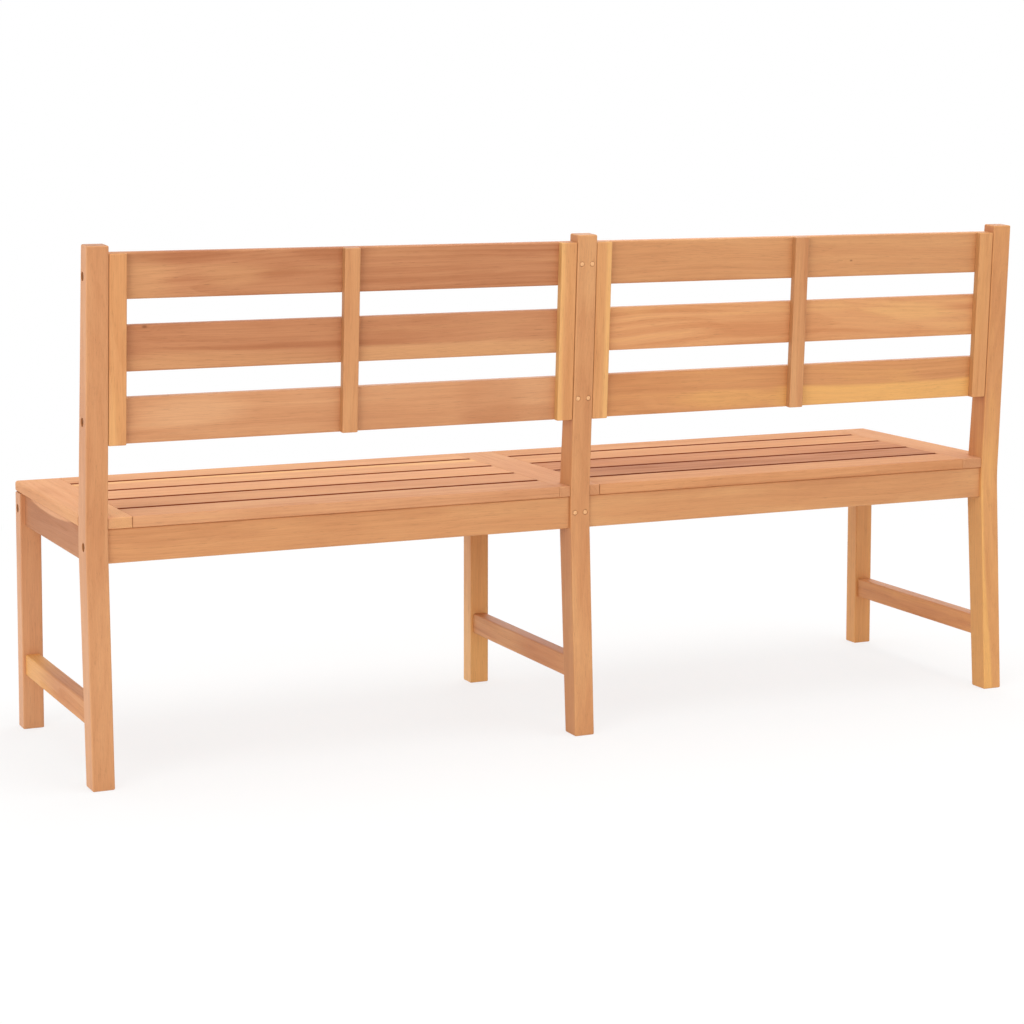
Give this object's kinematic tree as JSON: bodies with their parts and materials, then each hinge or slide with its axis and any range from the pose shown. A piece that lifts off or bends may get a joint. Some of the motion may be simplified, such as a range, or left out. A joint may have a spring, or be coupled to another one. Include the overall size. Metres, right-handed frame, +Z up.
{
  "type": "garden bench",
  "caption": "Long teak garden bench without arms: leg frames with bent rear posts, a slatted seat with cross boards, and a raked back of horizontal slats with upright strips.",
  "frame": {"origin": "on the floor under the middle of the bench, at half its length and half its overall depth", "axes": "+X along the bench towards the sitter's left, +Y towards the back, +Z up"},
  "size_m": [1.8, 0.4977, 0.8972],
  "materials": {
    "frame": "oiled teak, fine sanded, edges eased",
    "apron": "oiled teak, fine sanded, edges eased",
    "cross_board": "light teak, fine sanded, edges rounded",
    "seat": "light teak, fine sanded, edges rounded",
    "back_left": "darker streaked teak, fine sanded",
    "back_right": "golden streaked teak, fine sanded",
    "strip": "golden straight-grained teak, fine sanded",
    "peg": "pale end grain, rounded",
    "bolt": "dulled stainless steel, deep in its counterbore"
  },
  "bodies": {
    "root": {"front_leg_left": "frame", "front_leg_centre": "frame", "front_leg_right": "frame", "rear_post_left": "frame", "rear_post_centre": "frame", "rear_post_right": "frame", "side_rail_left": "frame", "side_rail_centre": "frame", "side_rail_right": "frame", "stretcher_left": "frame", "stretcher_centre": "frame", "stretcher_right": "frame", "front_apron_left": "apron", "front_apron_right": "apron", "rear_apron_left": "apron", "rear_apron_right": "apron", "seat_batten_left": "apron", "seat_batten_right": "apron", "seat_cross_board_left": "cross_board", "seat_cross_board_centre": "cross_board", "seat_cross_board_right": "cross_board", "seat_slat_left_1": "seat", "seat_slat_left_2": "seat", "seat_slat_left_3": "seat", "seat_slat_left_4": "seat", "seat_slat_left_5": "seat", "seat_slat_right_1": "seat", "seat_slat_right_2": "seat", "seat_slat_right_3": "seat", "seat_slat_right_4": "seat", "seat_slat_right_5": "seat", "back_slat_left_top": "back_left", "back_slat_left_middle": "back_left", "back_slat_left_bottom": "back_left", "back_slat_right_top": "back_right", "back_slat_right_middle": "back_right", "back_slat_right_bottom": "back_right", "back_strip_left_inner": "strip", "back_strip_left_middle": "strip", "back_strip_left_outer": "strip", "back_strip_right_inner": "strip", "back_strip_right_middle": "strip", "back_strip_right_outer": "strip", "bolt_left_front_apron": "bolt", "bolt_left_rear_apron": "bolt", "bolt_left_back_top": "bolt", "bolt_left_back_bottom": "bolt", "bolt_right_front_apron": "bolt", "bolt_right_rear_apron": "bolt", "bolt_right_back_top": "bolt", "bolt_right_back_bottom": "bolt", "peg_left_front_apron": "peg", "peg_left_rear_apron": "peg", "peg_left_back_top": "peg", "peg_left_back_bottom": "peg", "peg_right_front_apron": "peg", "peg_right_rear_apron": "peg", "peg_right_back_top": "peg", "peg_right_back_bottom": "peg"}
  },
  "joints": []
}
